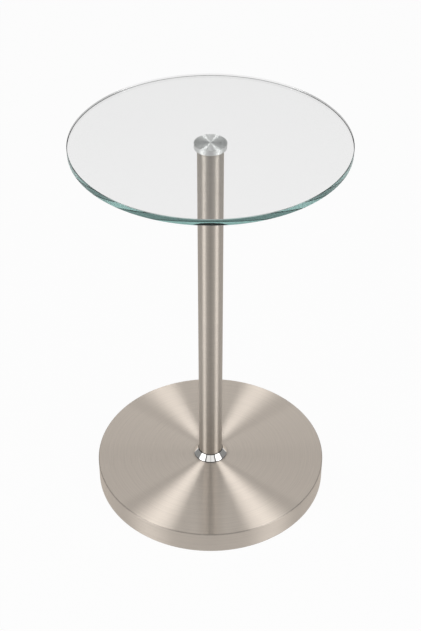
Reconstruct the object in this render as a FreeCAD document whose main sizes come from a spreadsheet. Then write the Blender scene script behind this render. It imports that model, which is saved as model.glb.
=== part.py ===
import FreeCAD, Part
import os
import Sketcher

# Serving table: a round glass top on a single round pole with a round weighted base.
# Millimetres, +Z up, origin on the floor under the centre of the table, +X to the viewer's right.

# Driving dimensions, each written once
DRIVING_SIZES = {
    "table_height": 637,
    "glass_diameter": 400,
    "glass_thickness": 10,
    "glass_arris": 0.8,
    "bond_thickness": 0.2,
    "bond_margin": 0.5,
    "adapter_diameter": 47,
    "adapter_height": 8,
    "adapter_top_bevel": 0.3,
    "adapter_foot_bevel": 0.6,
    "adapter_thread_floor": 1.8,
    "pole_diameter": 38,
    "pole_wall": 1.5,
    "pole_end_bevel": 0.3,
    "weld_clearance": 0.05,
    "thread_diameter": 10,
    "thread_clearance": 0.1,
    "thread_lead_bevel": 0.8,
    "thread_end_gap": 0.5,
    "stud_length": 18,
    "stud_socket_width": 5,
    "stud_socket_depth": 5,
    "top_insert_height": 14,
    "foot_insert_height": 18,
    "collar_foot_diameter": 55,
    "collar_lip_height": 1.2,
    "collar_height": 10.2,
    "collar_top_land": 0.7,
    "collar_clearance": 0.3,
    "collar_edge_radius": 0.3,
    "collar_hollow_depth": 3,
    "collar_hollow_wall": 3,
    "gasket_thickness": 0.8,
    "gasket_inset": 0.5,
    "gasket_width": 4,
    "base_diameter": 374,
    "cover_height": 38.5,
    "cover_sheet": 1,
    "cover_bend_radius": 2,
    "cover_inner_radius": 1,
    "hem_width": 8,
    "floor_gap": 1,
    "bolt_hole_clearance": 1,
    "weight_side_clearance": 0.5,
    "weight_edge_bevel": 3,
    "recess_diameter": 60,
    "recess_depth": 15,
    "sleeve_wall": 2.5,
    "plate_sheet": 1.2,
    "clamp_washer_diameter": 50,
    "clamp_washer_thickness": 3,
    "spring_washer_width": 3.5,
    "spring_washer_thickness": 2.2,
    "spring_washer_slit": 1.5,
    "bolt_length": 40,
    "bolt_head_width": 17,
    "bolt_head_height": 6.4,
    "pad_diameter": 25,
    "pad_edge_gap": 6,
    "pad_edge_radius": 0.6,
}
PAD_COUNT = 6
FULL_TURN = 360.0
# Two edges count as the same place when they lie closer than this share of the piece's diagonal
MATCH_SHARE = 1e-5

# Heights and radii that several pieces share, as expressions on the sheet
HEM_TOP = "(sizes.floor_gap + sizes.cover_sheet)"
PLATE_TOP = f"({HEM_TOP} + sizes.plate_sheet)"
COVER_TOP = "(sizes.floor_gap + sizes.cover_height)"
COVER_CEILING = f"({COVER_TOP} - sizes.cover_sheet)"
RECESS_TOP = f"({PLATE_TOP} + sizes.recess_depth)"
CLAMP_WASHER_FOOT = f"({RECESS_TOP} - sizes.clamp_washer_thickness)"
SPRING_WASHER_FOOT = f"({CLAMP_WASHER_FOOT} - sizes.spring_washer_thickness)"
GASKET_TOP = f"({COVER_TOP} + sizes.gasket_thickness)"
GLASS_FOOT = "(sizes.table_height - sizes.glass_thickness)"
ADAPTER_TOP = f"({GLASS_FOOT} - sizes.bond_thickness)"
ADAPTER_FOOT = f"({ADAPTER_TOP} - sizes.adapter_height)"
BASE_RADIUS = "(sizes.base_diameter / 2)"
COVER_INNER_RADIUS = f"({BASE_RADIUS} - sizes.cover_sheet)"
POLE_RADIUS = "(sizes.pole_diameter / 2)"
POLE_BORE_RADIUS = f"({POLE_RADIUS} - sizes.pole_wall)"
THREAD_RADIUS = "(sizes.thread_diameter / 2)"
TAPPED_RADIUS = f"({THREAD_RADIUS} + sizes.thread_clearance)"
BOLT_HOLE_RADIUS = f"({THREAD_RADIUS} + sizes.bolt_hole_clearance / 2)"
COLLAR_BORE_RADIUS = f"({POLE_RADIUS} + sizes.collar_clearance)"
COLLAR_RADIUS = "(sizes.collar_foot_diameter / 2)"
ZERO = "0"

doc = FreeCAD.newDocument("serving_table")
sheet = doc.addObject("Spreadsheet::Sheet", "sizes")
pieces = []


def fill_sheet():
    for row, (name, size) in enumerate(DRIVING_SIZES.items(), start=1):
        sheet.set(f"A{row}", name)
        sheet.set(f"B{row}", str(size))
        sheet.setAlias(f"B{row}", name)
    doc.recompute()


def number(expression):
    return float(sheet.evalExpression(expression))


def new_body(name, height=ZERO):
    """An empty body for one piece, with its foot at the given height."""
    body = doc.addObject("PartDesign::Body", name)
    body.Label = name
    body.setExpression("Placement.Base.z", height)
    pieces.append(body)
    return body


def origin_plane(body, role):
    for feature in body.Origin.OriginFeatures:
        if feature.Role == role:
            return feature
    raise ValueError(f"no origin plane {role}")


def new_sketch(body, name, role, offset=ZERO):
    """A sketch on one of the body's own origin planes, or parallel to it at an offset."""
    sketch = body.newObject("Sketcher::SketchObject", name)
    sketch.AttachmentSupport = [(origin_plane(body, role), "")]
    sketch.MapMode = "FlatFace"
    sketch.setExpression("AttachmentOffset.Base.z", offset)
    return sketch


def pin(sketch, direction, line, expression):
    """Holds the start of a line at a distance from the sketch's origin."""
    if expression == ZERO:
        axis = -2 if direction == "DistanceX" else -1
        sketch.addConstraint(Sketcher.Constraint("PointOnObject", line, 1, axis))
        return
    size = number(expression)
    index = sketch.addConstraint(Sketcher.Constraint(direction, -1, 1, line, 1, size))
    sketch.setExpression(f"Constraints[{index}]", expression)


def draw_outline(sketch, corners):
    """A closed outline of straight lines; each corner is a pair of expressions."""
    points = [FreeCAD.Vector(number(across), number(up), 0) for across, up in corners]
    count = len(points)
    for line in range(count):
        sketch.addGeometry(Part.LineSegment(points[line], points[(line + 1) % count]), False)
    for line in range(count):
        sketch.addConstraint(Sketcher.Constraint("Coincident", line, 2, (line + 1) % count, 1))
    for line, (across, up) in enumerate(corners):
        pin(sketch, "DistanceX", line, across)
        pin(sketch, "DistanceY", line, up)


def draw_circle(sketch, radius):
    centre = FreeCAD.Vector(0, 0, 0)
    upwards = FreeCAD.Vector(0, 0, 1)
    circle = sketch.addGeometry(Part.Circle(centre, upwards, number(radius)), False)
    sketch.addConstraint(Sketcher.Constraint("Coincident", circle, 3, -1, 1))
    index = sketch.addConstraint(Sketcher.Constraint("Radius", circle, number(radius)))
    sketch.setExpression(f"Constraints[{index}]", radius)


def draw_hexagon(sketch, width):
    """A hexagon about the sketch's origin, with the given width across its flats."""
    half_side = f"({width} / (2 * sqrt(3)))"
    half_width = f"({width} / 2)"
    tip = f"({width} / sqrt(3))"
    minus = "(0 - {})".format
    corners = [
        (tip, ZERO),
        (half_side, half_width),
        (minus(half_side), half_width),
        (minus(tip), ZERO),
        (minus(half_side), minus(half_width)),
        (half_side, minus(half_width)),
    ]
    draw_outline(sketch, corners)


def revolve(body, corners):
    """A turned piece from half of its section, as (radius, height) corners."""
    sketch = new_sketch(body, f"{body.Label}_section", "XZ_Plane")
    draw_outline(sketch, corners)
    turned = body.newObject("PartDesign::Revolution", f"{body.Label}_turned")
    turned.Profile = sketch
    turned.ReferenceAxis = (sketch, ["V_Axis"])
    turned.Angle = FULL_TURN
    doc.recompute()
    return turned


def pad(body, name, sketch, length):
    feature = body.newObject("PartDesign::Pad", name)
    feature.Profile = sketch
    feature.setExpression("Length", length)
    doc.recompute()
    return feature


def pocket(body, name, sketch, length, upwards):
    """A pocket that cuts up or down from its sketch, checked to take material away."""
    before = body.Shape.Volume
    feature = body.newObject("PartDesign::Pocket", name)
    feature.Profile = sketch
    feature.Reversed = upwards
    feature.setExpression("Length", length)
    doc.recompute()
    if feature.Shape.Volume >= before:
        raise RuntimeError(f"{name} cuts nothing")
    return feature


def rim_names(feature, rims):
    """Names of the round edges of a feature, given as (radius, height) expressions."""
    wanted = [(number(radius), number(height)) for radius, height in rims]
    tolerance = feature.Shape.BoundBox.DiagonalLength * MATCH_SHARE
    names = []
    for index, edge in enumerate(feature.Shape.Edges, start=1):
        if not isinstance(edge.Curve, Part.Circle):
            continue
        for radius, height in wanted:
            same_radius = abs(edge.Curve.Radius - radius) < tolerance
            same_height = abs(edge.Curve.Center.z - height) < tolerance
            if same_radius and same_height:
                names.append(f"Edge{index}")
    return names


def soften(body, kind, name, feature, rims, size):
    """Rounds or bevels round edges of a feature; kind is Fillet or Chamfer."""
    edges = rim_names(feature, rims)
    if len(edges) < len(rims):
        raise RuntimeError(f"{name} finds {len(edges)} of {len(rims)} edges")
    softened = body.newObject(f"PartDesign::{kind}", name)
    softened.Base = (feature, edges)
    softened.setExpression("Radius" if kind == "Fillet" else "Size", size)
    doc.recompute()
    return softened


def ring_section(inner, outer, height):
    return [(inner, ZERO), (outer, ZERO), (outer, height), (inner, height)]


def build_glass_top():
    """Round glass with a fine polished bevel on both edges."""
    body = new_body("glass_top", GLASS_FOOT)
    radius = "(sizes.glass_diameter / 2)"
    sketch = new_sketch(body, "glass_outline", "XY_Plane")
    draw_circle(sketch, radius)
    plate = pad(body, "glass_plate", sketch, "sizes.glass_thickness")
    rims = [(radius, ZERO), (radius, "sizes.glass_thickness")]
    soften(body, "Chamfer", "glass_arris_bevel", plate, rims, "sizes.glass_arris")


def build_bond_film():
    """Clear adhesive between the glass and its metal adapter."""
    body = new_body("bond_film", ADAPTER_TOP)
    sketch = new_sketch(body, "bond_outline", "XY_Plane")
    draw_circle(sketch, "(sizes.adapter_diameter / 2 - sizes.bond_margin)")
    pad(body, "bond_layer", sketch, "sizes.bond_thickness")


def build_glass_adapter():
    """Turned disc under the glass, with a blind tapped hole from below."""
    body = new_body("glass_adapter", ADAPTER_FOOT)
    radius = "(sizes.adapter_diameter / 2)"
    height = "sizes.adapter_height"
    foot_bevel = "sizes.adapter_foot_bevel"
    top_bevel = "sizes.adapter_top_bevel"
    hole_top = "(sizes.adapter_height - sizes.adapter_thread_floor)"
    corners = [
        (TAPPED_RADIUS, ZERO),
        (f"({radius} - {foot_bevel})", ZERO),
        (radius, foot_bevel),
        (radius, f"({height} - {top_bevel})"),
        (f"({radius} - {top_bevel})", height),
        (ZERO, height),
        (ZERO, hole_top),
        (TAPPED_RADIUS, hole_top),
    ]
    revolve(body, corners)


def build_top_stud():
    """Threaded stud from the pole's top insert into the adapter, with a hexagon socket on top."""
    reach = "(sizes.adapter_height - sizes.adapter_thread_floor - sizes.thread_end_gap)"
    body = new_body("top_stud", f"({ADAPTER_FOOT} + {reach} - sizes.stud_length)")
    bevel = "sizes.thread_lead_bevel"
    length = "sizes.stud_length"
    corners = [
        (ZERO, ZERO),
        (f"({THREAD_RADIUS} - {bevel})", ZERO),
        (THREAD_RADIUS, bevel),
        (THREAD_RADIUS, f"({length} - {bevel})"),
        (f"({THREAD_RADIUS} - {bevel})", length),
        (ZERO, length),
    ]
    revolve(body, corners)
    sketch = new_sketch(body, "stud_socket_outline", "XY_Plane", length)
    draw_hexagon(sketch, "sizes.stud_socket_width")
    pocket(body, "stud_socket", sketch, "sizes.stud_socket_depth", upwards=False)


def build_pole_inserts():
    """Tapped steel plugs welded into both ends of the pole."""
    outer = f"({POLE_BORE_RADIUS} - sizes.weld_clearance)"
    top_height = "sizes.top_insert_height"
    top = new_body("pole_top_insert", f"({ADAPTER_FOOT} - {top_height})")
    revolve(top, ring_section(TAPPED_RADIUS, outer, top_height))
    foot = new_body("pole_foot_insert", COVER_TOP)
    revolve(foot, ring_section(TAPPED_RADIUS, outer, "sizes.foot_insert_height"))


def build_pole_tube():
    """Round tube from the top of the base to the adapter, its outer ends broken."""
    body = new_body("pole_tube", COVER_TOP)
    length = f"({ADAPTER_FOOT} - {COVER_TOP})"
    bevel = "sizes.pole_end_bevel"
    corners = [
        (POLE_BORE_RADIUS, ZERO),
        (f"({POLE_RADIUS} - {bevel})", ZERO),
        (POLE_RADIUS, bevel),
        (POLE_RADIUS, f"({length} - {bevel})"),
        (f"({POLE_RADIUS} - {bevel})", length),
        (POLE_BORE_RADIUS, length),
    ]
    revolve(body, corners)


def build_base_collar():
    """Conical collar round the foot of the pole, with a short upright lip and a hollow below."""
    body = new_body("base_collar", GASKET_TOP)
    height = "sizes.collar_height"
    lip = "sizes.collar_lip_height"
    land_radius = f"({COLLAR_BORE_RADIUS} + sizes.collar_top_land)"
    hollow_radius = f"({COLLAR_RADIUS} - sizes.collar_hollow_wall)"
    hollow_top = "sizes.collar_hollow_depth"
    corners = [
        (hollow_radius, ZERO),
        (COLLAR_RADIUS, ZERO),
        (COLLAR_RADIUS, lip),
        (land_radius, height),
        (COLLAR_BORE_RADIUS, height),
        (COLLAR_BORE_RADIUS, hollow_top),
    ]
    turned = revolve(body, corners)
    rims = [(COLLAR_RADIUS, ZERO), (COLLAR_RADIUS, lip), (land_radius, height)]
    soften(body, "Fillet", "collar_soft_edges", turned, rims, "sizes.collar_edge_radius")


def build_collar_gasket():
    """Thin black ring that the collar stands on, just inside the collar's lip."""
    body = new_body("collar_gasket", COVER_TOP)
    outer = f"({COLLAR_RADIUS} - sizes.gasket_inset)"
    inner = f"({outer} - sizes.gasket_width)"
    revolve(body, ring_section(inner, outer, "sizes.gasket_thickness"))


def build_base_cover():
    """Pressed sheet cover: flat top with a bolt hole, upright wall and a hem turned in below."""
    body = new_body("base_cover", "sizes.floor_gap")
    height = "sizes.cover_height"
    sheet_thickness = "sizes.cover_sheet"
    ceiling = f"({height} - {sheet_thickness})"
    hem_radius = f"({BASE_RADIUS} - sizes.hem_width)"
    corners = [
        (BOLT_HOLE_RADIUS, height),
        (BASE_RADIUS, height),
        (BASE_RADIUS, ZERO),
        (hem_radius, ZERO),
        (hem_radius, sheet_thickness),
        (COVER_INNER_RADIUS, sheet_thickness),
        (COVER_INNER_RADIUS, ceiling),
        (BOLT_HOLE_RADIUS, ceiling),
    ]
    pressed = revolve(body, corners)
    outer_rims = [(BASE_RADIUS, height), (BASE_RADIUS, ZERO)]
    bent = soften(body, "Fillet", "cover_bends", pressed, outer_rims, "sizes.cover_bend_radius")
    inner_rims = [(COVER_INNER_RADIUS, sheet_thickness), (COVER_INNER_RADIUS, ceiling)]
    soften(body, "Fillet", "cover_inner_bends", bent, inner_rims, "sizes.cover_inner_radius")


def build_base_weight():
    """Cast weight that fills the cover, with a recess below for the clamping bolt's head."""
    body = new_body("base_weight", PLATE_TOP)
    radius = f"({COVER_INNER_RADIUS} - sizes.weight_side_clearance)"
    height = f"({COVER_CEILING} - {PLATE_TOP})"
    bevel = "sizes.weight_edge_bevel"
    recess_radius = "(sizes.recess_diameter / 2)"
    recess = "sizes.recess_depth"
    bore = f"({BOLT_HOLE_RADIUS} + sizes.sleeve_wall + sizes.weld_clearance)"
    corners = [
        (recess_radius, ZERO),
        (f"({radius} - {bevel})", ZERO),
        (radius, bevel),
        (radius, f"({height} - {bevel})"),
        (f"({radius} - {bevel})", height),
        (bore, height),
        (bore, recess),
        (recess_radius, recess),
    ]
    revolve(body, corners)


def build_weight_sleeve():
    """Steel sleeve cast into the weight, which takes the clamping force."""
    body = new_body("weight_sleeve", RECESS_TOP)
    outer = f"({BOLT_HOLE_RADIUS} + sizes.sleeve_wall)"
    revolve(body, ring_section(BOLT_HOLE_RADIUS, outer, f"({COVER_CEILING} - {RECESS_TOP})"))


def build_base_plate():
    """Sheet disc that closes the base from below and lies on the cover's hem."""
    body = new_body("base_plate", HEM_TOP)
    outer = f"({COVER_INNER_RADIUS} - sizes.cover_inner_radius)"
    revolve(body, ring_section("(sizes.recess_diameter / 2)", outer, "sizes.plate_sheet"))


def build_clamp_washers():
    """Large flat washer in the recess and the split spring washer under it."""
    flat = new_body("clamp_washer", CLAMP_WASHER_FOOT)
    flat_radius = "(sizes.clamp_washer_diameter / 2)"
    revolve(flat, ring_section(BOLT_HOLE_RADIUS, flat_radius, "sizes.clamp_washer_thickness"))
    spring = new_body("spring_washer", SPRING_WASHER_FOOT)
    spring_radius = f"({BOLT_HOLE_RADIUS} + sizes.spring_washer_width)"
    thickness = "sizes.spring_washer_thickness"
    revolve(spring, ring_section(BOLT_HOLE_RADIUS, spring_radius, thickness))
    slit = new_sketch(spring, "spring_washer_slit_outline", "XY_Plane")
    half_slit = "(sizes.spring_washer_slit / 2)"
    past_rim = f"({spring_radius} + sizes.spring_washer_width)"
    corners = [
        (ZERO, half_slit),
        (ZERO, f"(0 - {half_slit})"),
        (past_rim, f"(0 - {half_slit})"),
        (past_rim, half_slit),
    ]
    draw_outline(slit, corners)
    pocket(spring, "spring_washer_slit", slit, thickness, upwards=True)


def build_clamp_bolt():
    """Hexagon bolt from below through the base into the pole's foot insert."""
    head_height = "sizes.bolt_head_height"
    body = new_body("clamp_bolt", f"({SPRING_WASHER_FOOT} - {head_height})")
    tip = f"({head_height} + sizes.bolt_length)"
    bevel = "sizes.thread_lead_bevel"
    corners = [
        (ZERO, ZERO),
        (THREAD_RADIUS, ZERO),
        (THREAD_RADIUS, f"({tip} - {bevel})"),
        (f"({THREAD_RADIUS} - {bevel})", tip),
        (ZERO, tip),
    ]
    revolve(body, corners)
    sketch = new_sketch(body, "bolt_head_outline", "XY_Plane")
    draw_hexagon(sketch, "sizes.bolt_head_width")
    pad(body, "bolt_head", sketch, head_height)


def build_floor_pads():
    """Round pads under the base plate, evenly spaced just inside the hem."""
    radius = "(sizes.pad_diameter / 2)"
    circle_radius = f"({BASE_RADIUS} - sizes.hem_width - sizes.pad_edge_gap - {radius})"
    for count in range(PAD_COUNT):
        body = new_body(f"floor_pad_{count + 1}")
        angle = FULL_TURN * (count + 0.5) / PAD_COUNT
        body.setExpression("Placement.Base.x", f"{circle_radius} * cos({angle})")
        body.setExpression("Placement.Base.y", f"{circle_radius} * sin({angle})")
        sketch = new_sketch(body, f"pad_outline_{count + 1}", "XY_Plane")
        draw_circle(sketch, radius)
        disc = pad(body, f"pad_disc_{count + 1}", sketch, HEM_TOP)
        soften(body, "Fillet", f"pad_soft_edge_{count + 1}", disc, [(radius, ZERO)], "sizes.pad_edge_radius")


def check_document():
    for item in doc.Objects:
        if "Invalid" in item.State or "Error" in item.State:
            raise RuntimeError(f"{item.Name} is {item.State}")
    for piece in pieces:
        if piece.Shape.isNull() or not piece.Shape.isValid():
            raise RuntimeError(f"{piece.Label} has no valid shape")
        if len(piece.Shape.Solids) != 1:
            raise RuntimeError(f"{piece.Label} has {len(piece.Shape.Solids)} solids")


def write_pieces():
    os.makedirs("parts", exist_ok=True)
    for piece in pieces:
        piece.Shape.exportStep(f"parts/{piece.Label}.step")
        print(piece.Label, round(piece.Shape.Volume, 1))


fill_sheet()
build_glass_top()
build_bond_film()
build_glass_adapter()
build_top_stud()
build_pole_inserts()
build_pole_tube()
build_base_collar()
build_collar_gasket()
build_base_cover()
build_base_weight()
build_weight_sleeve()
build_base_plate()
build_clamp_washers()
build_clamp_bolt()
build_floor_pads()
doc.recompute()
check_document()
write_pieces()
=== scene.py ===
import math

import bpy
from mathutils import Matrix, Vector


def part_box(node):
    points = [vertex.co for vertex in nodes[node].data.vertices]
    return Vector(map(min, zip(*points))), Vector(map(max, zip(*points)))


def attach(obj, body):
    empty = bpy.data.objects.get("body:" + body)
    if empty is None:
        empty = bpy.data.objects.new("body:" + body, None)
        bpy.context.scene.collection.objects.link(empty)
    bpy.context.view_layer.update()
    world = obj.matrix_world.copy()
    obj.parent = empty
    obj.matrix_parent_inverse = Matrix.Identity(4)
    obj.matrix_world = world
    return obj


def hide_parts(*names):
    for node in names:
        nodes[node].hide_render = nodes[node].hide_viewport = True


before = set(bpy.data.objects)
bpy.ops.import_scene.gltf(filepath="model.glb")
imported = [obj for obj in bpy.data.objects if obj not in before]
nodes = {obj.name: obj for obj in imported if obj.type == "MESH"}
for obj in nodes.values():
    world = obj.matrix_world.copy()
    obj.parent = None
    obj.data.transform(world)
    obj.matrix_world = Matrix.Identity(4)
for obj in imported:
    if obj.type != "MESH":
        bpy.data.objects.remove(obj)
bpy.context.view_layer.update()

# Camera of the photograph, in metres, degrees and pixels of its 421 x 631 frame
CAMERA_BACK = 1.563
CAMERA_HEIGHT = 1.541
CAMERA_DOWN = 37.82
FOCAL_PIXELS = 1285.9
FRAME_HEIGHT_PIXELS = 631
SENSOR_MM = 36.0

# Glass and film drawn again, in metres: rounder than the CAD mesh and a hair inside it
GLASS_RADIUS_EASE = 0.0001
GLASS_FOOT_EASE = 0.00002
GLASS_ARRIS = 0.0008
GLASS_SEGMENTS = 720
FILM_EASE = 0.00003
FILM_SEGMENTS = 132
SHARP_DEGREES = 30.0

# Room that metal mirrors, as degrees away from the front and brightness there, where 1 is white
LOW_STOPS = (
    (0, 0.15),
    (10, 0.15),
    (24, 0.45),
    (36, 0.8),
    (38, 1.0),
    (79, 1.0),
    (82, 0.3),
    (134, 0.3),
    (146, 1.0),
)
HIGH_STOPS = (
    (0, 0.75),
    (4, 0.75),
    (6, 1.0),
    (28, 1.0),
    (30, 0.05),
    (37, 0.05),
    (39, 1.0),
    (78, 1.0),
    (80, 0.1),
    (88, 0.1),
    (90, 1.0),
)

# Degrees above the horizon where the low ring of that room ends and the high one begins
LOW_RING_TOP = 16.0
HIGH_RING_FOOT = 24.0

# Room that the glass mirrors: its brightness low down and overhead, and the degrees between which it changes
HORIZON_IN_GLASS = 0.8
CEILING_IN_GLASS = 0.1
CEILING_START = 18.0
CEILING_FULL = 25.0

# Light of the studio; a strength of 1 is white
WHITE = (1.0, 1.0, 1.0, 1.0)
SKY_COLOUR = (0.976, 0.976, 0.976)
LIGHTING_STRENGTH = 0.3
LIGHT_BOUNCES = 64

# Floor in metres; it glows, and glows less in front of the table for blurred reflections alone
FLOOR_HALF_WIDTH = 6.0
FLOOR_COLOUR = (0.85, 0.85, 0.85)
FLOOR_PAINT = (0.8, 0.8, 0.8)
FLOOR_GLOW = 1.0
FLOOR_GLOW_SHARE = 0.96
FLAG_DEGREES = 36.0
FLAG_DEPTH = 0.34
FLAG_START = -0.25
FLAG_FULL = -0.4

# Softboxes, in degrees, metres and watts; they fade out sideways from their middle
SOFTBOX_TURN = 56.0
SOFTBOX_DISTANCE = 2.0
SOFTBOX_RISE = 30.0
SOFTBOX_WIDTH = 1.6
SOFTBOX_TALL = 2.4
SOFTBOX_WATTS = 29.0
SOFTBOX_MIDDLE = 0.5
AIM_HEIGHT = 0.2

# Colours of the pieces, as linear red, green and blue
STEEL_COLOUR = (0.70, 0.626, 0.552)
POLE_COLOUR = (0.51, 0.463, 0.411)
SPUN_COLOUR = (0.80, 0.80, 0.79)
CHROME_COLOUR = (0.80, 0.79, 0.77)
PLAIN_STEEL_COLOUR = (0.45, 0.44, 0.43)
PLATED_COLOUR = (0.62, 0.62, 0.60)
GASKET_COLOUR = (0.015, 0.015, 0.015)
PAD_COLOUR = (0.02, 0.02, 0.02)
WEIGHT_COLOUR = (0.42, 0.41, 0.39)
SHEET_COLOUR = (0.03, 0.03, 0.03)
ADHESIVE_COLOUR = (0.95, 0.96, 0.95)

# Noise of the materials lies mostly between low and high
NOISE_LOW = 0.3
NOISE_MIDDLE = 0.5
NOISE_HIGH = 0.7

# Brushing: the shares by which its lines and bands vary the tone, and its bands the blur
LINE_TONE = 0.04
BAND_BLUR = 0.03

# Brushing: how much lines and bands change round a turn, as a radius in the noise
LINE_WAVES = 3.0
BAND_WAVES = 1.5

# How far metal faces up, from 0 to 1, where a wall ends, where a face is full and where the bend and its
# painted shade end
WALL_UP = 0.3
FACE_UP = 0.98
BEND_END_UP = (0.9, 0.99)

# Radius in metres that counts at the axis, so that nothing is divided by zero
AXIS_RADIUS = 0.00001

# Chrome: the share by which its lines vary the tone, and its least and most roughness
CHROME_TONE = 0.02
CHROME_ROUGHNESS = (0.03, 0.07)

# Painted shade of the collar at its foot and crown: how far from each it starts to fade, in metres, and its
# shade
COLLAR_LIP = 0.0012
COLLAR_CROWN = 0.0006
PAINTED_JOINT_SHADE = 0.08

# Other end of each fade, as a share of that distance
COLLAR_LIP_END = 1.2
COLLAR_CROWN_END = 0.8

# Grain of cast, plated, painted and rubber surfaces; the broad grain's size counts in fine grains
BROAD_GRAIN_SIZE = 20.0
FINE_GRAIN_SHARE = 0.5
GRAIN_ROUGHNESS_SWING = 0.08
GRAIN_BUMP_STRENGTH = 0.5

# Share of the adhesive film that shows
FILM_COVER = (0.01, 0.04)

# Clear glass: the tint of its faces, its depth per metre, and what passes it straight
GLASS_COLOUR = (0.947, 0.931, 0.933)
GLASS_TONE = 0.005
GLASS_GLARE = (0.35, 0.35, 0.35)
GLASS_IOR = 1.52
GLASS_DEPTH_COLOUR = (0.06, 0.453, 0.406)
GLASS_DEPTH_DENSITY = 3.4
GLASS_PASS_COLOUR = (0.985, 0.985, 0.985)

# Bonded middle of the glass, as a share of the film's radius, and the Fresnel that tells guided light
BOND_SHARE = 0.7
# Its dark colour also serves for the painted shade at the left and right of the glass edge
BOND_COLOUR = (0.03, 0.033, 0.032)
BOND_TONE = 0.1
GUIDED_FRESNEL = 0.9

# How far the glass faces up, from 0 to 1, at most on its edge and at least on its bevel
EDGE_UP = 0.9
BEVEL_UP = 0.5

# Share of the light that the edge takes; a way inside it under this many metres counts as near
EDGE_LOSS = 0.42
ARRIS_LOSS = 0.8
GLASS_SHORT_WAY = 0.03

# Left and right sides of the edge, where shade is painted on, begin and are full at these sines of the turn
SIDE_START = 0.58
SIDE_FULL = 0.76
SIDE_ARRIS_PAINTED_SHADE = 1.0
SIDE_WALL_PAINTED_SHADE = 0.3
SIDE_CLEAR_SHARE = 0.6

# Frost on the bevel, with its share of the colour at the sides, where shade is painted on it
BEVEL_FROST = 0.7
FROST_COLOUR = (0.66, 0.72, 0.71)
SIDE_FROST_PAINTED_SHARE = 0.1


class Graph:
    """A node tree with short ways to add and join nodes."""

    def __init__(self, tree):
        self.tree = tree

    def add(self, kind, settings=None, **inputs):
        node = self.tree.nodes.new(f"ShaderNode{kind}")
        for name, value in (settings or {}).items():
            setattr(node, name, value)
        for name, value in inputs.items():
            self.put(node.inputs[name.replace("_", " ")], value)
        return node

    def put(self, socket, value):
        if isinstance(value, bpy.types.NodeSocket):
            self.tree.links.new(value, socket)
        else:
            socket.default_value = value

    def math(self, operation, *values):
        node = self.add("Math", {"operation": operation})
        for socket, value in zip(node.inputs, values):
            self.put(socket, value)
        return node.outputs[0]

    def product(self, first, *others):
        for other in others:
            first = self.math("MULTIPLY", first, other)
        return first

    def rest_of(self, share):
        """What is left of 1 when the share is taken away."""
        return self.math("SUBTRACT", 1.0, share)

    def vector(self, operation, *values):
        node = self.add("VectorMath", {"operation": operation})
        for socket, value in zip(node.inputs, values):
            self.put(socket, value)
        return node.outputs[0]

    def scaled(self, vector, factor):
        node = self.add("VectorMath", {"operation": "SCALE"})
        self.put(node.inputs[0], vector)
        self.put(node.inputs["Scale"], factor)
        return node.outputs[0]

    def parts(self, vector):
        """The x, y and z of a vector."""
        return self.add("SeparateXYZ", Vector=vector).outputs

    def object_place(self):
        return self.add("TexCoord").outputs["Object"]

    def noise(self, place, scale, detail=2.0):
        return self.add("TexNoise", Vector=place, Scale=scale, Detail=detail).outputs["Fac"]

    def radius(self, x, y):
        """The distance from the vertical axis."""
        return self.math("SQRT", self.math("ADD", self.product(x, x), self.product(y, y)))

    def turn_from_front(self, x, y):
        """The angle away from the front, to either side."""
        return self.math("ABSOLUTE", self.math("ARCTAN2", x, self.product(y, -1.0)))

    def facing_up(self, normal):
        """How far the surface faces up or down: 0 on a wall and 1 on a level face."""
        return self.math("ABSOLUTE", self.parts(self.add("NewGeometry").outputs[normal])[2])

    def remap(self, value, low, high, to_low, to_high, shape="LINEAR"):
        node = self.add("MapRange", {"interpolation_type": shape}, Value=value)
        node.inputs["From Min"].default_value = low
        node.inputs["From Max"].default_value = high
        node.inputs["To Min"].default_value = to_low
        node.inputs["To Max"].default_value = to_high
        return node.outputs["Result"]

    def spread(self, noise, low, high):
        """Noise stretched to run from low to high."""
        return self.remap(noise, NOISE_LOW, NOISE_HIGH, low, high)

    def mix_number(self, factor, first, second):
        """The number itself where both are the same, so that it goes straight on its socket."""
        if first == second:
            return first
        node = self.add("Mix", {"data_type": "FLOAT"})
        self.put(node.inputs[0], factor)
        self.put(node.inputs[2], first)
        self.put(node.inputs[3], second)
        return node.outputs[0]

    def mix_colour(self, factor, first, second):
        node = self.add("Mix", {"data_type": "RGBA"})
        self.put(node.inputs[0], factor)
        self.put(node.inputs[6], first)
        self.put(node.inputs[7], second)
        return node.outputs[2]

    def varied(self, noise, colour, share):
        """The colour, darker and lighter by the share as the noise goes."""
        return self.mix_colour(noise, shade(colour, 1 - share), shade(colour, 1 + share))

    def mix_shader(self, factor, first, second):
        node = self.add("MixShader")
        self.put(node.inputs[0], factor)
        self.put(node.inputs[1], first)
        self.put(node.inputs[2], second)
        return node.outputs[0]

    def white_where_seen(self, shown, lighting):
        """The first shader for what sees the backdrop, the second for the light that it gives."""
        light_path = self.add("LightPath").outputs
        seen = self.math("MAXIMUM", light_path["Is Camera Ray"], light_path["Is Glossy Ray"])
        seen = self.math("MAXIMUM", seen, light_path["Is Transmission Ray"])
        return self.mix_shader(seen, lighting, shown)


class Material(Graph):
    """A material, with the Principled shader that every new one has."""

    def __init__(self, name):
        self.data = bpy.data.materials.new(name)
        self.data.use_nodes = True
        super().__init__(self.data.node_tree)
        self.shader = self.tree.nodes["Principled BSDF"]
        self.output = self.tree.nodes["Material Output"]

    def set(self, **inputs):
        for name, value in inputs.items():
            self.put(self.shader.inputs[name.replace("_", " ")], value)

    def finish(self, surface):
        """The material with this as its surface in place of the Principled shader."""
        self.put(self.output.inputs["Surface"], surface)
        return self.data


def opaque(colour):
    return (*colour, 1.0)


def shade(colour, factor):
    return opaque([channel * factor for channel in colour])


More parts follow.
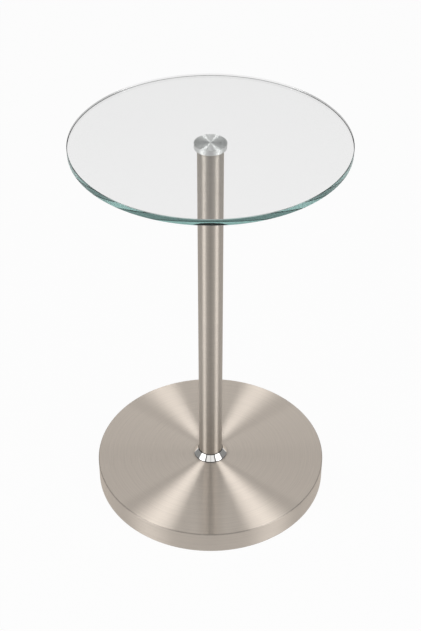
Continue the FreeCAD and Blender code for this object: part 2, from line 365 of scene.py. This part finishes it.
def turned_lines(material, lines_per_metre, waves_round):
    """Noise that runs in rings about the vertical axis, on flat, upright and sloping faces."""
    x, y, z = material.parts(material.object_place())
    radius = material.radius(x, y)
    safe_radius = material.math("MAXIMUM", radius, AXIS_RADIUS)
    across = material.product(material.math("ADD", radius, z), lines_per_metre)
    round_x = material.product(material.math("DIVIDE", x, safe_radius), waves_round)
    round_y = material.product(material.math("DIVIDE", y, safe_radius), waves_round)
    place = material.add("CombineXYZ", X=round_x, Y=round_y, Z=across).outputs[0]
    return material.noise(place, scale=1.0)


def groove_normal(material, lines, tilt, lean):
    """The normal, tilted from groove to groove across the brushed rings, and leaned outward."""
    normal = material.add("NewGeometry").outputs["Normal"]
    x, y = material.parts(material.object_place())[:2]
    along = material.add("CombineXYZ", X=material.product(y, -1.0), Y=x).outputs[0]
    across = material.vector("CROSS_PRODUCT", normal, material.vector("NORMALIZE", along))
    slope = material.product(material.math("SUBTRACT", lines, NOISE_MIDDLE), tilt)
    slope = material.math("SUBTRACT", slope, lean)
    tilted = material.vector("ADD", normal, material.scaled(across, slope))
    return material.vector("NORMALIZE", tilted)


def painted_bow_tie(material, level, painted_sheen):
    """Painted highlight: brightness that rises toward the front and back of a flat face and falls toward its
    sides.
    """
    x, y = material.parts(material.object_place())[:2]
    twice_round = material.product(material.math("ARCTAN2", x, y), 2.0)
    swing = material.math("COSINE", twice_round)
    return material.math("ADD", material.product(swing, level, painted_sheen), 1.0)


def brushed_blur(along, across):
    """The roughness and the anisotropy that blur this much along the grooves and across them."""
    slope = math.sqrt(along * across)
    return math.sqrt(slope), 1 - along / slope


def brushed(
    name,
    colour,
    face,
    wall,
    tilt=0.0,
    lines_per_metre=2500.0,
    bands_per_metre=400.0,
    lean=0.0,
    wall_painted_shade=1.0,
    bend_painted_shade=1.0,
    painted_sheen=0.0,
):
    """Metal brushed in rings; face and wall each give its blur along the grooves and across them.

    The two painted shades make the wall, and the bend between it and the face, brighter or darker. A painted
    highlight brightens the face to the front and back and dims it at the sides, in place of the light that a
    spun disc under bonded glass shows."""
    material = Material(name)
    lines = turned_lines(material, lines_per_metre, LINE_WAVES)
    bands = turned_lines(material, bands_per_metre, BAND_WAVES)
    facing_up = material.facing_up("Normal")
    level = material.remap(facing_up, WALL_UP, FACE_UP, 0.0, 1.0)
    # Painted shade on the wall and on the bend, back to full brightness on the face
    gain = material.remap(facing_up, 0.0, WALL_UP, wall_painted_shade, bend_painted_shade, "SMOOTHSTEP")
    past_bend = material.remap(facing_up, *BEND_END_UP, 0.0, 1.0, "SMOOTHSTEP")
    gain = material.mix_number(past_bend, gain, 1.0)
    for noise in (bands, lines):
        gain = material.product(gain, material.spread(noise, 1 - LINE_TONE, 1 + LINE_TONE))
    # Painted highlight: the face is painted brighter to the front and back and darker at the sides
    if painted_sheen:
        gain = material.product(gain, painted_bow_tie(material, level, painted_sheen))
    wall_roughness, wall_stretch = brushed_blur(*wall)
    face_roughness, face_stretch = brushed_blur(*face)
    roughness = material.mix_number(level, wall_roughness, face_roughness)
    variation = material.spread(bands, 1 - BAND_BLUR, 1 + BAND_BLUR)
    metal = material.add(
        "BsdfAnisotropic",
        Color=material.scaled(colour, gain),
        Anisotropy=material.mix_number(level, wall_stretch, face_stretch),
        Roughness=material.product(roughness, variation),
        Tangent=material.add("Tangent", {"direction_type": "RADIAL", "axis": "Z"}).outputs[0],
    )
    if tilt or lean:
        material.put(metal.inputs["Normal"], groove_normal(material, lines, tilt, lean))
    return material.finish(metal.outputs[0])


def spun_aluminium():
    return brushed(
        "spun_aluminium",
        SPUN_COLOUR,
        face=(0.02, 2.0),
        wall=(0.12, 0.6),
        tilt=0.15,
        lines_per_metre=4000.0,
        bands_per_metre=900.0,
        lean=0.04,
        # Painted highlight: the face is painted up to a quarter brighter to the front and back, and darker at
        # the sides
        painted_sheen=0.25,
    )


def brushed_pole():
    return brushed("brushed_pole", POLE_COLOUR, face=(0.045, 0.6), wall=(0.045, 0.6))


def brushed_cover():
    return brushed(
        "brushed_cover",
        STEEL_COLOUR,
        face=(0.01, 0.8),
        wall=(0.03, 0.4),
        tilt=0.25,
        bands_per_metre=500.0,
        lean=0.10,
        # Painted shade: the wall at 78 % and the bend at 62 % of the face's brightness
        wall_painted_shade=0.78,
        bend_painted_shade=0.62,
    )


def plain_steel():
    return brushed("plain_steel", PLAIN_STEEL_COLOUR, face=(0.1, 0.3), wall=(0.1, 0.3), tilt=0.3)


def polished_chrome(collar):
    """Chrome with painted shade: dark lines round its foot and round the pole, where it mirrors the joints.
    """
    low, high = collar
    material = Material("polished_chrome")
    place = material.object_place()
    z = material.parts(place)[2]
    lip_top = low[2] + COLLAR_LIP
    lip_end = low[2] + COLLAR_LIP * COLLAR_LIP_END
    crown_foot = high[2] - COLLAR_CROWN
    crown_end = high[2] - COLLAR_CROWN * COLLAR_CROWN_END
    # Painted shade: the chrome is painted dark just above its foot and just below its crown
    at_foot = material.remap(z, lip_top, lip_end, 1.0, 0.0)
    at_crown = material.remap(z, crown_foot, crown_end, 0.0, 1.0)
    painted_joint_shade = material.math("MAXIMUM", at_foot, at_crown)
    lines = turned_lines(material, lines_per_metre=900.0, waves_round=4.0)
    tone = material.varied(lines, CHROME_COLOUR, CHROME_TONE)
    tone = material.mix_colour(painted_joint_shade, tone, shade(CHROME_COLOUR, PAINTED_JOINT_SHADE))
    haze = material.noise(place, scale=90.0, detail=3.0)
    material.set(Base_Color=tone, Metallic=1.0, Roughness=material.spread(haze, *CHROME_ROUGHNESS))
    return material.data


def guided_to_bond(material, foot, bond_radius):
    """Where light guided inside the glass meets the bonded adapter."""
    x, y, z = material.parts(material.object_place())
    over_bond = material.math("LESS_THAN", material.radius(x, y), bond_radius)
    at_foot = material.math("LESS_THAN", z, foot)
    fresnel = material.add("Fresnel", IOR=GLASS_IOR).outputs[0]
    return material.product(over_bond, at_foot, material.math("GREATER_THAN", fresnel, GUIDED_FRESNEL))


def sides_painted_darker(material):
    """1 at the left and right of the disc, where the glass edge gets painted shade, 0 at its front and back.
    """
    x, y = material.parts(material.object_place())[:2]
    safe_radius = material.math("MAXIMUM", material.radius(x, y), AXIS_RADIUS)
    beside = material.math("DIVIDE", material.math("ABSOLUTE", x), safe_radius)
    return material.remap(beside, SIDE_START, SIDE_FULL, 0.0, 1.0, "SMOOTHSTEP")


def clear_glass(foot, bond_radius):
    """Clear float glass: tinted a little at each face and sea-green through its depth.

    Lamps, and what the metal under it mirrors, pass it straight. Where the adapter is bonded on, light that
    the glass would guide past meets the metal instead. The bevel is frosted from outside. From inside the
    edge takes some of the light, but what meets its wall close by mostly goes straight on. Shade is painted
    on the left and right of the edge and of its frost."""
    material = Material("clear_glass")
    wave = material.noise(material.object_place(), scale=6.0, detail=1.0)
    tone = material.varied(wave, GLASS_COLOUR, GLASS_TONE)
    material.set(Base_Color=tone, Roughness=0.0, IOR=GLASS_IOR, Transmission_Weight=1.0)
    material.set(Specular_Tint=opaque(GLASS_GLARE))
    depth = material.add("VolumeAbsorption", Color=opaque(GLASS_DEPTH_COLOUR), Density=GLASS_DEPTH_DENSITY)
    material.put(material.output.inputs["Volume"], depth.outputs[0])

    # A ray is inside after an odd number of faces
    light_path = material.add("LightPath").outputs
    inside = material.math("MODULO", light_path["Transmission Depth"], 2.0)
    outside = material.rest_of(inside)
    far = material.math("GREATER_THAN", light_path["Ray Length"], GLASS_SHORT_WAY)
    near = material.rest_of(far)
    facing_up = material.facing_up("True Normal")
    edge = material.math("LESS_THAN", facing_up, EDGE_UP)
    bevel = material.math("GREATER_THAN", facing_up, BEVEL_UP)
    wall = material.rest_of(bevel)
    # Painted shade: the edge and its frost are painted darker at the left and right
    side = sides_painted_darker(material)

    arris_loss_and_painted_shade = material.mix_number(side, ARRIS_LOSS, SIDE_ARRIS_PAINTED_SHADE)
    wall_loss_and_painted_shade = material.mix_number(far, side, EDGE_LOSS)
    edge_inside = material.product(edge, inside)
    loss_and_painted_shade_inside = material.product(edge_inside, material.mix_number(bevel, wall_loss_and_painted_shade, arris_loss_and_painted_shade))
    # Painted shade on the sides of the edge seen from outside
    painted_side_shade_outside = material.product(edge, outside, side, SIDE_WALL_PAINTED_SHADE)
    loss_and_painted_shade = material.math("MAXIMUM", loss_and_painted_shade_inside, painted_side_shade_outside)
    loss_and_painted_shade = material.math("MAXIMUM", guided_to_bond(material, foot, bond_radius), loss_and_painted_shade)
    # A dark diffuse: the bonded metal, the edge's loss and the painted shade at the sides
    dark_bond_and_painted_shade = material.add("BsdfDiffuse", Color=material.varied(wave, BOND_COLOUR, BOND_TONE)).outputs[0]
    glass = material.mix_shader(loss_and_painted_shade, material.shader.outputs[0], dark_bond_and_painted_shade)

    frosted = material.product(edge, bevel, outside, BEVEL_FROST)
    # Painted shade: the frost is painted darker at the sides
    frost_with_painted_shade = material.mix_colour(side, opaque(FROST_COLOUR), shade(FROST_COLOUR, SIDE_FROST_PAINTED_SHARE))
    frost = material.add("BsdfDiffuse", Color=frost_with_painted_shade).outputs[0]
    glass = material.mix_shader(frosted, glass, frost)

    # Painted shade: less light passes straight on at the sides
    clear_share = material.remap(side, 0.0, 1.0, 1.0, SIDE_CLEAR_SHARE)
    straight_on = material.product(edge_inside, wall, near, clear_share)
    open_air = material.add("BsdfTransparent", Color=opaque(GLASS_PASS_COLOUR)).outputs[0]
    glass = material.mix_shader(straight_on, glass, open_air)

    mirrored = material.mix_shader(inside, open_air, glass)
    surface = material.mix_shader(light_path["Is Glossy Ray"], glass, mirrored)
    surface = material.mix_shader(light_path["Is Diffuse Ray"], surface, open_air)
    surface = material.mix_shader(light_path["Is Shadow Ray"], surface, open_air)
    return material.finish(surface)


def clear_adhesive():
    """A film that is all but invisible: a thin haze over what it joins."""
    material = Material("clear_adhesive")
    haze = material.noise(material.object_place(), scale=300.0)
    cover = material.spread(haze, *FILM_COVER)
    material.set(Base_Color=opaque(ADHESIVE_COLOUR), Roughness=0.3, IOR=1.5, Alpha=cover)
    return material.data


def grainy(name, colour, roughness, grains_per_metre, contrast, bump, metallic=0.0):
    """A cast, plated, painted or rubber surface with fine grain; the bump is in metres."""
    material = Material(name)
    place = material.object_place()
    fine = material.noise(place, grains_per_metre, detail=6.0)
    broad = material.noise(place, grains_per_metre / BROAD_GRAIN_SIZE)
    fine_part = material.product(fine, FINE_GRAIN_SHARE)
    broad_part = material.product(broad, 1 - FINE_GRAIN_SHARE)
    grain = material.math("ADD", fine_part, broad_part)
    tone = material.varied(grain, colour, contrast)
    rough = material.spread(grain, roughness - GRAIN_ROUGHNESS_SWING, roughness + GRAIN_ROUGHNESS_SWING)
    relief = material.add("Bump", Height=fine, Strength=GRAIN_BUMP_STRENGTH, Distance=bump).outputs[0]
    material.set(Base_Color=tone, Metallic=metallic, Roughness=rough, Normal=relief)
    return material.data


def plated_steel():
    return grainy(
        "plated_steel",
        PLATED_COLOUR,
        roughness=0.3,
        grains_per_metre=900.0,
        contrast=0.08,
        bump=0.00002,
        metallic=1.0,
    )


def black_rubber():
    return grainy(
        "black_rubber",
        GASKET_COLOUR,
        roughness=0.6,
        grains_per_metre=2000.0,
        contrast=0.3,
        bump=0.00003,
    )


def floor_rubber():
    return grainy(
        "floor_rubber",
        PAD_COLOUR,
        roughness=0.75,
        grains_per_metre=1500.0,
        contrast=0.3,
        bump=0.00005,
    )


def cast_concrete():
    return grainy(
        "cast_concrete",
        WEIGHT_COLOUR,
        roughness=0.85,
        grains_per_metre=250.0,
        contrast=0.25,
        bump=0.0004,
    )


def black_sheet():
    return grainy(
        "black_sheet",
        SHEET_COLOUR,
        roughness=0.45,
        grains_per_metre=700.0,
        contrast=0.25,
        bump=0.00004,
    )


def lathe(name, profile, segments):
    """A solid piece turned about the vertical axis from (radius, height) points."""
    verts = []
    faces = []
    rings = []
    for radius, height in profile:
        if radius == 0:
            verts.append((0, 0, height))
            rings.append([len(verts) - 1])
            continue
        first = len(verts)
        for step in range(segments):
            angle = 2 * math.pi * step / segments
            verts.append((radius * math.cos(angle), radius * math.sin(angle), height))
        rings.append(list(range(first, first + segments)))
    for lower, upper in zip(rings, rings[1:]):
        for step in range(segments):
            after = (step + 1) % segments
            if len(lower) == 1:
                faces.append((lower[0], upper[after], upper[step]))
            elif len(upper) == 1:
                faces.append((lower[step], lower[after], upper[0]))
            else:
                faces.append((lower[step], lower[after], upper[after], upper[step]))
    mesh = bpy.data.meshes.new(name)
    mesh.from_pydata(verts, [], faces)
    mesh.shade_smooth()
    mesh.set_sharp_from_angle(angle=math.radians(SHARP_DEGREES))
    piece = bpy.data.objects.new(name, mesh)
    bpy.context.collection.objects.link(piece)
    return piece


def build_glass(material):
    """The glass again, round where the CAD mesh has facets that its clear edge would show."""
    low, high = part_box("glass_top")
    radius = high[0] - GLASS_RADIUS_EASE
    foot = low[2] + GLASS_FOOT_EASE
    top = high[2]
    profile = (
        (0, foot),
        (radius - GLASS_ARRIS, foot),
        (radius, foot + GLASS_ARRIS),
        (radius, top - GLASS_ARRIS),
        (radius - GLASS_ARRIS, top),
        (0, top),
    )
    glass = lathe("round_glass", profile, GLASS_SEGMENTS)
    glass.data.materials.append(material)
    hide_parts("glass_top")
    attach(glass, "root")


def build_film(material):
    """The adhesive again, a hair clear of the faces that it joins, so that no two faces coincide."""
    low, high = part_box("bond_film")
    radius = high[0] - FILM_EASE
    foot = low[2] + FILM_EASE
    top = high[2] - FILM_EASE
    profile = ((0, foot), (radius, foot), (radius, top), (0, top))
    film = lathe("thin_film", profile, FILM_SEGMENTS)
    film.data.materials.append(material)
    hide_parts("bond_film")
    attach(film, "root")


def dress():
    """Gives every CAD node its material, and draws the glass and the film again."""
    bond_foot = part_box("glass_top")[0][2] + GLASS_FOOT_EASE * 2
    bond_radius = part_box("bond_film")[1][0] * BOND_SHARE
    plated = plated_steel()
    plain = plain_steel()
    pad_rubber = floor_rubber()
    materials = {
        "glass_top": clear_glass(bond_foot, bond_radius),
        "bond_film": clear_adhesive(),
        "glass_adapter": spun_aluminium(),
        "top_stud": plated,
        "pole_top_insert": plain,
        "pole_foot_insert": plain,
        "pole_tube": brushed_pole(),
        "base_collar": polished_chrome(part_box("base_collar")),
        "collar_gasket": black_rubber(),
        "base_cover": brushed_cover(),
        "base_weight": cast_concrete(),
        "weight_sleeve": plain,
        "base_plate": black_sheet(),
        "clamp_washer": plated,
        "spring_washer": plated,
        "clamp_bolt": plated,
    }
    build_glass(materials["glass_top"])
    build_film(materials["bond_film"])
    for name, node in nodes.items():
        material = pad_rubber if name.startswith("floor_pad") else materials[name]
        for slot in node.material_slots:
            slot.material = material


def brightness_ramp(graph, turn, stops):
    """Brightness by the angle, in degrees, away from the front."""
    ramp = graph.add("ValToRGB", Fac=graph.math("DIVIDE", turn, math.pi))
    points = ramp.color_ramp.elements
    while len(points) < len(stops):
        points.new(0.5)
    for point, (degrees, level) in zip(points, stops):
        point.position = degrees / 180
        point.color = (level, level, level, 1)
    return ramp.outputs["Color"]


def by_height(graph, z, low_degrees, high_degrees, below, above):
    """A number that turns from one to another between two heights above the horizon."""
    low = math.sin(math.radians(low_degrees))
    high = math.sin(math.radians(high_degrees))
    return graph.remap(z, low, high, below, above, "SMOOTHSTEP")


def build_world():
    """Nearly white to the camera; metal mirrors gaps and flags between the lamps, and glass a dim ceiling."""
    world = bpy.data.worlds.new("studio")
    world.use_nodes = True
    graph = Graph(world.node_tree)
    shown = graph.tree.nodes["Background"]
    x, y, z = graph.parts(graph.add("TexCoord").outputs["Generated"])
    turn = graph.turn_from_front(x, y)
    low_ring = brightness_ramp(graph, turn, LOW_STOPS)
    high_ring = brightness_ramp(graph, turn, HIGH_STOPS)
    rise = by_height(graph, z, LOW_RING_TOP, HIGH_RING_FOOT, 0.0, 1.0)
    in_metal = graph.mix_colour(rise, low_ring, high_ring)
    in_glass = by_height(graph, z, CEILING_START, CEILING_FULL, HORIZON_IN_GLASS, CEILING_IN_GLASS)
    light_path = graph.add("LightPath").outputs
    by_glass = graph.product(light_path["Is Singular Ray"], light_path["Is Reflection Ray"])
    room = graph.mix_colour(by_glass, in_metal, in_glass)
    room = graph.mix_colour(light_path["Is Camera Ray"], room, opaque(SKY_COLOUR))
    graph.put(shown.inputs["Color"], room)
    lighting = graph.add("Background", Color=WHITE, Strength=LIGHTING_STRENGTH)
    both = graph.white_where_seen(shown.outputs[0], lighting.outputs[0])
    graph.put(graph.tree.nodes["World Output"].inputs["Surface"], both)
    bpy.context.scene.world = world


def build_floor():
    """A white floor that keeps a soft shadow of the table."""
    half = FLOOR_HALF_WIDTH
    corners = [(-half, -half, 0), (half, -half, 0), (half, half, 0), (-half, half, 0)]
    mesh = bpy.data.meshes.new("floor")
    mesh.from_pydata(corners, [], [(0, 1, 2, 3)])
    floor = bpy.data.objects.new("floor", mesh)
    bpy.context.collection.objects.link(floor)
    material = Material("floor_white")
    material.set(Base_Color=opaque(FLOOR_COLOUR), Roughness=1.0, Specular_IOR_Level=0.0)
    x, y = material.parts(material.object_place())[:2]
    turn = material.turn_from_front(x, y)
    ahead = material.remap(turn, 0.0, math.radians(FLAG_DEGREES), FLAG_DEPTH, 0.0)
    reach = material.remap(y, FLAG_START, FLAG_FULL, 0.0, 1.0)
    light_path = material.add("LightPath").outputs
    blurred = material.math("SUBTRACT", light_path["Is Glossy Ray"], light_path["Is Singular Ray"])
    flag = material.product(ahead, reach, material.math("MAXIMUM", blurred, 0.0))
    strength = material.math("SUBTRACT", FLOOR_GLOW, flag)
    glow = material.add("Emission", Color=WHITE, Strength=strength)
    paint = material.add("BsdfDiffuse", Color=opaque(FLOOR_PAINT))
    shown = material.mix_shader(FLOOR_GLOW_SHARE, paint.outputs[0], glow.outputs[0])
    both = material.white_where_seen(shown, material.shader.outputs[0])
    mesh.materials.append(material.finish(both))


def build_softbox(name, side):
    """A soft light in front and to one side, aimed at the table."""
    turn = math.radians(SOFTBOX_TURN)
    rise = math.radians(SOFTBOX_RISE)
    out = SOFTBOX_DISTANCE * math.cos(rise)
    light = bpy.data.lights.new(name, "AREA")
    light.shape = "RECTANGLE"
    light.size = SOFTBOX_WIDTH
    light.size_y = SOFTBOX_TALL
    light.energy = SOFTBOX_WATTS
    light.use_nodes = True
    graph = Graph(light.node_tree)
    sideways = graph.parts(graph.add("NewGeometry").outputs["Parametric"])[0]
    off_centre = graph.math("ABSOLUTE", graph.math("SUBTRACT", sideways, SOFTBOX_MIDDLE))
    strength = graph.remap(off_centre, 0.0, SOFTBOX_MIDDLE, 1.0, 0.0, "SMOOTHSTEP")
    graph.put(graph.tree.nodes["Emission"].inputs["Strength"], strength)
    lamp = bpy.data.objects.new(name, light)
    height = AIM_HEIGHT + SOFTBOX_DISTANCE * math.sin(rise)
    lamp.location = (side * out * math.sin(turn), -out * math.cos(turn), height)
    lamp.rotation_euler = (math.pi / 2 - rise, 0, side * turn)
    lamp.visible_camera = False
    lamp.visible_transmission = False
    bpy.context.collection.objects.link(lamp)


def build_camera():
    camera = bpy.data.cameras.new("camera")
    camera.sensor_width = SENSOR_MM
    camera.lens = FOCAL_PIXELS / FRAME_HEIGHT_PIXELS * SENSOR_MM
    holder = bpy.data.objects.new("camera", camera)
    holder.location = (0, -CAMERA_BACK, CAMERA_HEIGHT)
    holder.rotation_euler = (math.radians(90 - CAMERA_DOWN), 0, 0)
    bpy.context.collection.objects.link(holder)
    bpy.context.scene.camera = holder


def set_view_and_bounces():
    """Plain colours, and enough bounces for the light that runs round inside the glass."""
    scene = bpy.context.scene
    scene.view_settings.view_transform = "Standard"
    scene.cycles.max_bounces = LIGHT_BOUNCES
    scene.cycles.transmission_bounces = LIGHT_BOUNCES
    scene.cycles.glossy_bounces = LIGHT_BOUNCES
    scene.cycles.transparent_max_bounces = LIGHT_BOUNCES


build_camera()
build_world()
build_floor()
build_softbox("softbox_left", -1)
build_softbox("softbox_right", 1)
dress()
set_view_and_bounces()
